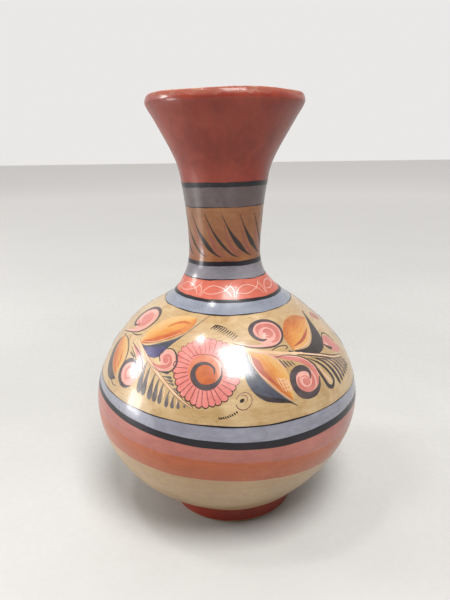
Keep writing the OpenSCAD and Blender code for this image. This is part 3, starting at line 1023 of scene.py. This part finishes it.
def left_group(side, turn, sway):
    """At the far left: the upper scroll, the leaf below it and the lower scroll."""
    motif = Motif(side, turn + LEFT_TURN, sway)
    fill = motif.paint("left_scroll_fill", PALE_PINK, "rose_slip", 0)
    rose = motif.paint("left_scroll_rose", ROSY, "petal_slip", 1)
    pale = motif.paint("left_scroll_gleam", GLEAM, "white_slip", 2)
    dark = motif.paint("left_scroll_line", CHARCOAL, "black_slip", 3)
    leaf = motif.paint("left_leaf", LEAF, "leaf_slip", 1)
    blush = motif.paint("left_leaf_blush", GLOW, "leaf_slip", 2)
    cup = motif.paint("left_sepal", CHARCOAL, "slate_slip", 0)
    fill.oval(-11.5, 58.8, 11.2, 9.6, 8)
    rose.brush([
        (-18.5, 55, 0.5), (-15, 53.4, 2.4), (-8.6, 54.4, 3.4), (-5.4, 59.4, 3.4), (-8.8, 63.8, 2.6),
        (-15, 63.4, 1.0),
    ])
    rose.oval(-11.8, 59.2, 5.2, 3.9, 10)
    fill.brush([(-30, 41.6, 0.4), (-18, 46, 1.6), (-8, 50, 2.6), (-2, 55, 2.4)])
    dark.brush([
        (-12.5, 53.2, 0.6), (-17.5, 50.8, 1.7), (-22.5, 52.6, 2.2), (-24.5, 58, 2.4), (-20.5, 65, 2.4),
        (-12.5, 69, 2.2), (-4.5, 68.2, 1.9), (0.6, 62.5, 1.4), (0.2, 55.5, 1.0), (-5, 49.6, 0.8),
        (-13, 46.2, 0.8), (-22, 43.4, 0.7), (-32, 40.3, 0.4),
    ])
    dark.brush([(-12, 45.6, 0.3), (-6, 46.3, 0.9), (0, 48.6, 0.4)])
    leaf.leaf(
        [(-5, 15), (-13, 17.5), (-20, 22), (-25, 28), (-26, 35), (-22.5, 40)],
        [(-5, 15), (-2.5, 22), (-2.5, 28.5), (-6, 34.5), (-13, 39), (-22.5, 40)],
    )
    blush.brush([(-8, 17.2, 0.4), (-15, 20.6, 2.6), (-21, 26.6, 3.0), (-23.4, 34, 0.5)])
    blush.brush([(-6.5, 20, 0.4), (-7.4, 26, 1.3), (-11, 32, 0.4)])
    cup.leaf(
        [(-3.5, 13.2), (-13, 16.7), (-20.6, 21.4), (-25.6, 27.8), (-26.6, 35), (-22.5, 40.4)],
        [(-3.5, 12.6), (-11, 9.8), (-20, 11.5), (-28, 18.6), (-31, 30), (-22.5, 40.8)],
    )
    dark.brush([(-24, 40.2, 0.4), (-13, 40.2, 0.7), (-5, 35.6, 0.7), (-1.2, 29, 0.7), (-1.8, 20, 0.4)])
    fill.oval(9.6, 21.2, 9.8, 8.2, 5)
    fill.brush([(-2, 40.2, 0.5), (8, 36.8, 3.6), (15.6, 31, 5.4), (18.8, 23.6, 4.6), (14.6, 16.4, 1.6)])
    rose.brush([(0, 39.2, 0.4), (8, 36.0, 2.8), (15, 30.8, 3.6), (17.6, 24.6, 2.6), (16.4, 19.2, 0.6)])
    rose.brush([(12.5, 26.6, 0.6), (8, 25.8, 2.2), (5.8, 21.6, 2.4), (8.8, 17.8, 2.0), (12.6, 19.2, 0.8)])
    pale.brush([(11.2, 24.4, 0.4), (8.2, 23.6, 0.9), (8, 20.8, 0.9), (10.6, 20, 0.4)])
    dark.brush([
        (13.4, 28.2, 0.7), (8.5, 30.2, 2.4), (3, 28.5, 3.0), (-0.3, 23.5, 3.1), (0.4, 17.5, 3.1),
        (5, 13.5, 3.0), (11.0, 12.6, 2.0), (16, 14.4, 0.6),
    ])
    dark.brush([(-3, 40.6, 0.4), (5, 38.4, 0.7), (14, 34, 0.8), (20, 27.4, 0.4)])
    dark.brush([(-2, 37.6, 0.3), (5, 34.6, 0.6), (11, 31, 0.3)])
    for k in range(3):
        x = 0.2 + 2.4 * k
        s = 35.0 - 0.6 * k
        dark.brush([(x, s, 0.3), (x + 0.9, s - 1.2, 1.1), (x + 2.1, s - 1.8, 0.3)])
    dark.brush([(-9, 10.8, 0.3), (-4, 8.9, 0.5), (1.5, 9.6, 0.3)])
    motif.done()


def right_scrolls(side, turn, sway):
    """The upper and lower spirals to the right of the daisy."""
    motif = Motif(side, turn + RIGHT_TURN, sway)
    fill = motif.paint("right_scroll_fill", PALE_PINK, "rose_slip", 0)
    rose = motif.paint("right_scroll_rose", ROSY, "petal_slip", 1)
    pale = motif.paint("right_scroll_gleam", GLEAM, "white_slip", 2)
    dark = motif.paint("right_scroll_line", CHARCOAL, "black_slip", 3)
    stalk = motif.paint("right_scroll_stem", STEM, "cream_slip", 1)
    whorl(fill, rose, pale, -12.6, 57.2, 10.4, -95, 1, 0.95)
    fill.brush([(-38, 51.6, 0.4), (-27, 49.2, 1.2), (-18, 48.4, 2.4), (-9, 49.9, 3.2)])
    pale.oval(-15.6, 55.6, 1.2, 2.6, -35)
    dark.brush([
        (-15.2, 52.6, 0.6), (-18.8, 52.5, 1.8), (-22.2, 55.4, 2.7), (-22.6, 60.6, 2.9), (-18.8, 65.4, 2.7),
        (-12.6, 67.6, 2.4), (-6, 66, 2.1), (-1.9, 61, 1.9), (-1.9, 55, 1.7), (-5.6, 49.8, 1.4),
        (-12, 47, 1.2), (-20, 46.9, 1.0), (-28, 48.4, 0.8), (-38.5, 52.2, 0.35),
    ])
    dark.brush([
        (-16.5, 44.4, 0.4), (-10.5, 46, 0.7), (-6, 45.8, 0.8), (-4.4, 44.4, 0.7), (-6.6, 43.2, 0.4),
    ])
    dark.brush([(-5.6, 41.3, 1.2), (-3.6, 40.8, 0.9), (-1.6, 40.6, 0.3)])
    stalk.brush([(-44, 49.5, 0.8), (-30, 46.6, 2.2), (-18, 43, 2.6), (-6, 39.8, 2.2), (4, 37.6, 1.6)])
    whorl(fill, rose, pale, -4.0, 20.4, 9.2, 60, -1, 0.95)
    fill.brush([(-20, 40.6, 0.4), (-9, 37.4, 2.8), (0, 33.2, 4.0), (5.6, 26.8, 4.2), (7, 19.6, 3.2)])
    rose.brush([
        (-18, 40.2, 0.4), (-8, 36.8, 2.8), (0.8, 32.4, 3.6), (5.6, 26.2, 3.4), (6.6, 19.8, 2.8),
        (4.2, 15, 0.8),
    ])
    pale.brush([(-19, 40.9, 0.3), (-8, 38.4, 0.5), (1.4, 34.2, 0.5), (7.4, 27.2, 0.5), (8.2, 20.6, 0.3)])
    dark.brush([
        (0.1, 20.6, 0.7), (1.5, 24.6, 2.2), (-1.2, 28.0, 3.5), (-6.6, 28.7, 4.2), (-11.7, 25.7, 4.4),
        (-13.6, 20.2, 4.5), (-11.5, 14.2, 4.5), (-6, 11.1, 4.2), (1, 11.4, 3.6), (6, 14.8, 2.2),
        (8.2, 20, 0.7),
    ])
    dark.brush([(-17, 39.4, 0.3), (-8, 39.2, 0.5), (1.6, 35.2, 0.7), (8.4, 28.0, 0.8), (10, 20.4, 0.4)])
    for k in range(4):
        x = -15.6 + 2.4 * k
        dark.brush([
            (x, 37.4 - 0.9 * k, 0.4), (x + 0.8, 34 - 0.2 * k, 1.4 - 0.2 * k),
            (x + 1.9, 31.2 + 0.1 * k, 0.3),
        ])
    motif.done()


def right_leaves(side, turn, sway):
    """The centre-right leaf and the upper-right leaf with their dark sepals."""
    motif = Motif(side, turn + RIGHT_TURN, sway)
    body = motif.paint("right_leaves", LEAF, "leaf_slip", 1)
    blush = motif.paint("right_leaf_blush", BERRY, "leaf_slip", 2)
    cup = motif.paint("right_sepals", SLATE, "slate_slip", 0)
    pale = motif.paint("right_leaf_hatching", WHITE, "white_slip", 3)
    rim = motif.paint("right_leaf_rim", GLEAM, "white_slip", 3)
    dusk = motif.paint("upper_right_sepal", DUSK, "slate_slip", 1)
    comb = motif.paint("upper_right_leaf_comb", UMBER, "leaf_slip", 2)
    body.leaf(
        [(-32, 45), (-34, 38), (-33, 31), (-29.5, 24), (-25, 17), (-17.5, 10.5)],
        [(-32, 45), (-26, 44.6), (-20.5, 41.4), (-16.2, 35.6), (-14.6, 28), (-16, 18), (-17.5, 10.5)],
    )
    blush.leaf(
        [(-31.6, 42.5), (-33.2, 37.5), (-32.4, 31.5), (-28.6, 25.5), (-23.6, 19.5)],
        [(-31.6, 42.5), (-28.6, 38.5), (-28.6, 32), (-26.6, 26.5), (-23.6, 19.5)],
    )
    cup.leaf(
        [
            (-33, 46), (-38, 39), (-42, 32), (-43, 25), (-41, 18.4), (-36, 13.6), (-28, 11.2), (-20, 9.4),
            (-16, 6.8),
        ],
        [
            (-33, 46), (-34.6, 38), (-33.6, 30.5), (-30.8, 24), (-27, 18.4), (-24, 15), (-21, 12),
            (-18.6, 9.8), (-15.6, 7.0),
        ],
    )
    rim.brush([
        (-31.6, 44.2, 0.5), (-33.6, 37.8, 0.9), (-32.8, 31, 0.8), (-29.4, 24.2, 0.6), (-25, 17.6, 0.5),
        (-19, 11.4, 0.2),
    ])
    rim.brush([(-28, 44.8, 0.4), (-21, 42, 0.7), (-16.2, 35.8, 0.6), (-14.4, 29.6, 0.3)])
    dusk.leaf(
        [(-42.4, 21.4), (-40.2, 17.9), (-35.4, 13.6), (-28, 11.3), (-20, 9.5), (-16, 6.9)],
        [(-42.4, 21.4), (-39.4, 18.6), (-33, 15.6), (-25.5, 13.4), (-20, 11.0), (-16, 6.9)],
    )
    for k in range(6):
        x = -23.4 + 1.3 * k + 0.3 * math.sin(2.3 * k)
        top = 26.8 - 0.5 * k + 0.5 * math.sin(3.1 * k)
        pale.brush([
            (x, top, 0.2), (x + 0.2, 23.0, 0.36), (x + 0.8 + 0.4 * math.cos(k), 17.6 - 0.5 * k, 0.2),
        ])
    for k in range(4):
        s = 25.2 - 2.3 * k
        x = -23.2 + 0.7 * k + 0.6 * math.sin(1.9 * k)
        pale.brush([
            (x, s + 0.3 * math.cos(k), 0.2), (x + 3.0, s - 0.3, 0.34),
            (x + 5.8, s + 0.4 * math.sin(k), 0.2),
        ])
    body.leaf(
        [(-1.5, 41), (7, 41.2), (14, 42.8), (21, 46.6), (27, 52), (30, 57.5)],
        [(-1.5, 41), (-2.6, 50), (0.8, 58.4), (6, 63.4), (13.5, 65.2), (22.5, 62.4), (30, 57.5)],
        tone=(0.9, 0.1),
    )
    blush.brush([(0.5, 43.4, 0.5), (9, 45.2, 2.0), (16.5, 48, 2.2), (22.4, 51.2, 0.5)])
    for k in range(6):
        x = 7.4 + 2.5 * k
        s = 65.2 - 0.1 * (k - 2.5) ** 2
        comb.brush([(x, s - 0.8, 0.25), (x + 0.2, s - 2.0, 0.5), (x + 0.5, s - 3.4, 0.2)])
    dusk.leaf(
        [(-1.2, 40.8), (7, 39.9), (13, 40.2), (20, 43.4), (26, 48.6), (30.6, 55.6), (34, 62.8)],
        [(-1.2, 40.3), (6, 37.2), (14, 33.8), (22, 33.2), (29, 36), (33.2, 43), (34.6, 62.6)],
    )
    rim.brush([(0, 41.6, 0.3), (8, 41.2, 0.5), (15, 42.9, 0.5), (22, 47, 0.4), (28, 53, 0.2)])
    motif.done()


def right_fan(side, turn, sway):
    """The stem running off to the right, its fan of feather strokes and the far scroll."""
    motif = Motif(side, turn + RIGHT_TURN, sway)
    dark = motif.paint("fan_strokes", DUSK, "black_slip", 1)
    pale = motif.paint("fan_gleams", WHITE, "white_slip", 2)
    rose = motif.paint("far_scroll", ROSY, "petal_slip", 0)
    stem = [(-1, 40.2, 0.5), (9, 36.6, 0.8), (20, 32.2, 0.7), (32, 27, 0.6), (47, 22.6, 0.3)]
    for drop in (0, 2.4):
        dark.brush([(x, s - drop, width) for x, s, width in stem])
    pale.brush([(1, 38.4, 0.4), (10, 35, 0.9), (21, 30.6, 0.8), (32, 25.6, 0.5), (42, 22.6, 0.3)])
    dark.brush([
        (4.6, 33.6, 0.5), (8.6, 26, 1.6), (11.6, 17.5, 2.2), (14.2, 11.6, 2.6), (18.2, 9.8, 2.6),
        (21.2, 13, 2.4), (18.6, 20.4, 1.9), (13, 27.6, 1.3), (6, 33.2, 0.4),
    ])
    pale.brush([(9.6, 28.4, 0.3), (12.8, 22, 0.8), (16.6, 14.4, 1.3), (17.2, 13.2, 0.5)])
    for k in range(7):
        top = (8.5 + 4.3 * k, 33.4 - 1.75 * k)
        foot = (28.6 + 4.5 * k - 0.12 * k * k, 8.2 + 0.7 * k)
        feather(dark, top, foot, 2.9 - 0.16 * k, 3.4)
        feather(pale, (top[0] + 6.5, top[1] - 2.6), (foot[0] + 1.9, foot[1] + 3.4), 0.5, 2.2)
    rose.leaf(
        [(29, 36.2), (35, 40.0), (41.5, 38.2), (48, 30), (54, 24.2)],
        [(29, 36.2), (33.4, 31), (39, 27.0), (46, 24.4), (54, 24.2)],
    )
    pale.brush([(31, 37.4, 0.4), (32.6, 35.2, 1.3), (35, 33.4, 0.5)])
    dark.brush([(28.6, 36.2, 0.4), (31.6, 33.6, 1.6), (35.4, 31, 2.2), (38, 30.4, 0.7)])
    dark.brush([(30.4, 38, 0.4), (36, 41.6, 0.9), (42.4, 39.8, 0.9), (48.6, 31.6, 0.5)])
    motif.done()


def berry():
    """The lone red berry high at the front's right."""
    fruit = Paint("berry", BERRY, "petal_slip", RIGHT_TURN, 0)
    fruit.oval(51, 51.4, 8.0, 2.6, -34)
    fruit.done()


def side_spray(side, turn, sway, lean):
    """The upright leaf, curl and feathers that fill the wall between the two big groups."""
    motif = Motif(side, turn, sway)
    body = motif.paint("spray_leaf", LEAF, "leaf_slip", 1)
    cup = motif.paint("spray_sepal", SLATE, "slate_slip", 0)
    rose = motif.paint("spray_curl", ROSY, "petal_slip", 0)
    pale = motif.paint("spray_gleams", WHITE, "white_slip", 2)
    dark = motif.paint("spray_strokes", INK, "black_slip", 3)
    body.leaf(
        [(lean / 2, 32), (lean - 4, 37), (lean - 6, 44), (lean - 4, 51), (lean + 2, 57)],
        [(lean / 2, 32), (lean + 5, 37), (lean + 7, 44), (lean + 6, 51), (lean + 2, 57)],
    )
    cup.leaf(
        [(lean / 2, 30.6), (lean - 6, 34), (lean - 10, 42), (lean - 8, 50), (lean - 3, 57)],
        [(lean / 2, 31), (lean - 4, 36.4), (lean - 6.2, 44), (lean - 4.6, 51), (lean - 2.6, 57)],
    )
    rose.oval(0, 20, 6.6, 6.2)
    pale.brush([
        (4.6, 22, 0.3), (2, 25, 0.9), (-3, 23.6, 0.9), (-4, 18.4, 0.9), (0, 15.8, 0.8), (2.6, 18.6, 0.4),
    ])
    dark.brush([
        (1, 18.6, 0.6), (3.6, 21.4, 1.8), (1, 25.2, 2.6), (-4.6, 25.4, 3.0), (-7.6, 20, 3.2), (-5, 14, 3.0),
        (1.2, 12.8, 2.4), (6.6, 16, 1.6), (8.4, 22.6, 1.0), (5, 29.6, 0.5),
    ])
    way = math.copysign(1, lean)
    for k in range(3):
        top = (way * (6.5 + k), 28 - 1.6 * k)
        foot = (way * (10.5 + 2.9 * k), 10.5 + 1.2 * k)
        feather(dark, top, foot, 2.2, way * 1.2)
    motif.done()


GROUPS = [
    daisy, upper_leaf, little_curl, fern, ticks, left_group, right_scrolls, right_leaves, right_fan,
]
for side, turn, sway in (("front", 0.0, 0.0), ("back", 180.0, 0.7)):
    for group in GROUPS:
        group(side, turn, sway)
side_spray("right", 96.0, 0.3, 8)
side_spray("left", 261.5, -0.4, -8)
berry()


# ---------------------------------------------------------------- neck and shoulder ornament

def neck_leaves():
    """Slanting leaf strokes round the tan band."""
    count = 14
    strokes = Paint("neck_leaf_strokes", INK, "black_slip", 0, 1)
    blush = Paint("neck_leaf_blush", CORAL_WASH, "coral_slip", 0, 0)
    for k in range(count):
        strokes.middle = blush.middle = k * TAU / count
        full = 1.0 if k % 3 else 0.6
        strokes.brush([
            (-14.4, 146.6, 0.3), (-10.8, 139.2, 0.7), (-7.4, 133.2, 1.9 * full), (-3.4, 127.6, 3.3 * full),
            (0.9, 122.6, 2.6 * full), (5.2, 118.9, 1.1), (8.8, 117.2, 0.35),
        ])
        blush.brush([(-12.6, 140, 0.3), (-10.2, 131, 1.6), (-6.4, 123, 2.6), (-1, 117.6, 0.5)])
    strokes.done()
    blush.done()


def shoulder_loops():
    """The pale chain of loops round the coral band."""
    count = 9
    lines = Paint("coral_band_loops", GLEAM, "white_slip", 0, 1)
    for k in range(count):
        lines.middle = (k + 0.24) * TAU / count
        lines.brush([
            (0, 88.8, 0.32), (2, 93.6, 0.48), (7, 97.3, 0.48), (13, 96.6, 0.48), (19, 93, 0.48),
            (22, 89.6, 0.32),
        ])
        lines.brush([
            (1, 92.2, 0.32), (7, 91.2, 0.45), (14, 93, 0.48), (18.5, 96, 0.48), (20.4, 99.6, 0.32),
        ])
        lines.brush([(16.6, 93.2, 0.32), (19.8, 97, 0.48), (23, 93.4, 0.48), (24, 89, 0.32)])
    lines.done()


neck_leaves()
shoulder_loops()


# ---------------------------------------------------------------- floor, light and camera

def plain_floor():
    """A pale matt floor, paler far away."""
    mesh = bpy.data.meshes.new("floor")
    mesh.from_pydata([(-6, -6, 0), (6, -6, 0), (6, 6, 0), (-6, 6, 0)], [], [(0, 1, 2, 3)])
    floor = bpy.data.objects.new("floor", mesh)
    bpy.context.collection.objects.link(floor)
    n = Nodes("pale floor")
    cloud = n.noise(n.position, 3, 4, 0.6)
    grain = n.noise(n.position, 160, 3, 0.6)
    tint = n.over(colour("b2b1ae"), "a7a6a3", cloud, 0.3, 0.7)
    span = n.add("ShaderNodeVectorMath", operation="LENGTH")
    n.link(n.position, span.inputs[0])
    tint = n.over(tint, "f4f3f0", span.outputs["Value"], 0.3, 2.4)
    tint = n.over(tint, "a2a09c", grain, 0.35, 0.7, 0.2)
    mesh.materials.append(n.finish(tint, n.remap(grain, 0.3, 0.7, 0.55, 0.7), grain, 0.1, 0.0002))


def soft_light(name, spot, aim, width, height, power):
    """A rectangular light at a spot, facing another spot, both in metres."""
    data = bpy.data.lights.new(name, "AREA")
    data.shape = "RECTANGLE"
    data.size = width
    data.size_y = height
    data.energy = power
    light = bpy.data.objects.new(name, data)
    light.location = spot
    light.rotation_euler = (Vector(aim) - Vector(spot)).to_track_quat("-Z", "Y").to_euler()
    bpy.context.collection.objects.link(light)


def pale_room():
    """A pale room, dimmer behind the camera than behind the vase."""
    world = bpy.data.worlds.new("pale room")
    world.use_nodes = True
    tree = world.node_tree
    way = tree.nodes.new("ShaderNodeTexCoord")
    parts = tree.nodes.new("ShaderNodeSeparateXYZ")
    ramp = tree.nodes.new("ShaderNodeValToRGB")
    span = tree.nodes.new("ShaderNodeMapRange")
    span.inputs["From Min"].default_value = -0.9
    span.inputs["From Max"].default_value = 0.5
    ramp.color_ramp.interpolation = "EASE"
    ramp.color_ramp.elements[0].color = (0.34, 0.33, 0.33, 1)
    ramp.color_ramp.elements[1].color = (0.92, 0.90, 0.885, 1)
    tree.links.new(way.outputs["Generated"], parts.inputs[0])
    tree.links.new(parts.outputs["Y"], span.inputs["Value"])
    tree.links.new(span.outputs["Result"], ramp.inputs["Fac"])
    tree.links.new(ramp.outputs["Color"], tree.nodes["Background"].inputs["Color"])
    tree.nodes["Background"].inputs["Strength"].default_value = 0.9
    bpy.context.scene.world = world


# The camera's place in metres, its turns in radians and its lens in millimetres
CAMERA_DISTANCE = 0.3985
CAMERA_HEIGHT = 0.272
CAMERA_DOWN = 0.283
CAMERA_ROLL = 0.014
LENS = 33.6


def camera():
    """The eye in front of the vase, a little below the lip, looking down and slightly rolled."""
    data = bpy.data.cameras.new("camera")
    data.sensor_width = 36
    data.lens = LENS
    data.clip_start = 0.01
    eye = bpy.data.objects.new("camera", data)
    eye.location = (0, -CAMERA_DISTANCE, CAMERA_HEIGHT)
    eye.rotation_mode = "QUATERNION"
    look = Vector((0, math.cos(CAMERA_DOWN), -math.sin(CAMERA_DOWN)))
    turn = look.to_track_quat("-Z", "Y")
    turn.rotate(Quaternion(look, CAMERA_ROLL))
    eye.rotation_quaternion = turn
    bpy.context.collection.objects.link(eye)
    bpy.context.scene.camera = eye


plain_floor()
pale_room()
soft_light("skylight", (0.22, -0.72, 1.55), (0, -0.05, 0.14), 0.6, 0.74, 38)
soft_light("left window", (-1.8, 0.22, 0.85), (0, 0, 0.15), 0.36, 0.42, 13)
soft_light("ceiling lamp", (-0.5, -0.16, 1.7), (0, 0, 0.15), 0.16, 0.16, 5)
soft_light("low window", (-0.85, -0.16, 0.16), (0, 0, 0.18), 0.22, 0.26, 2.4)
camera()
bpy.context.scene.view_settings.view_transform = "Standard"
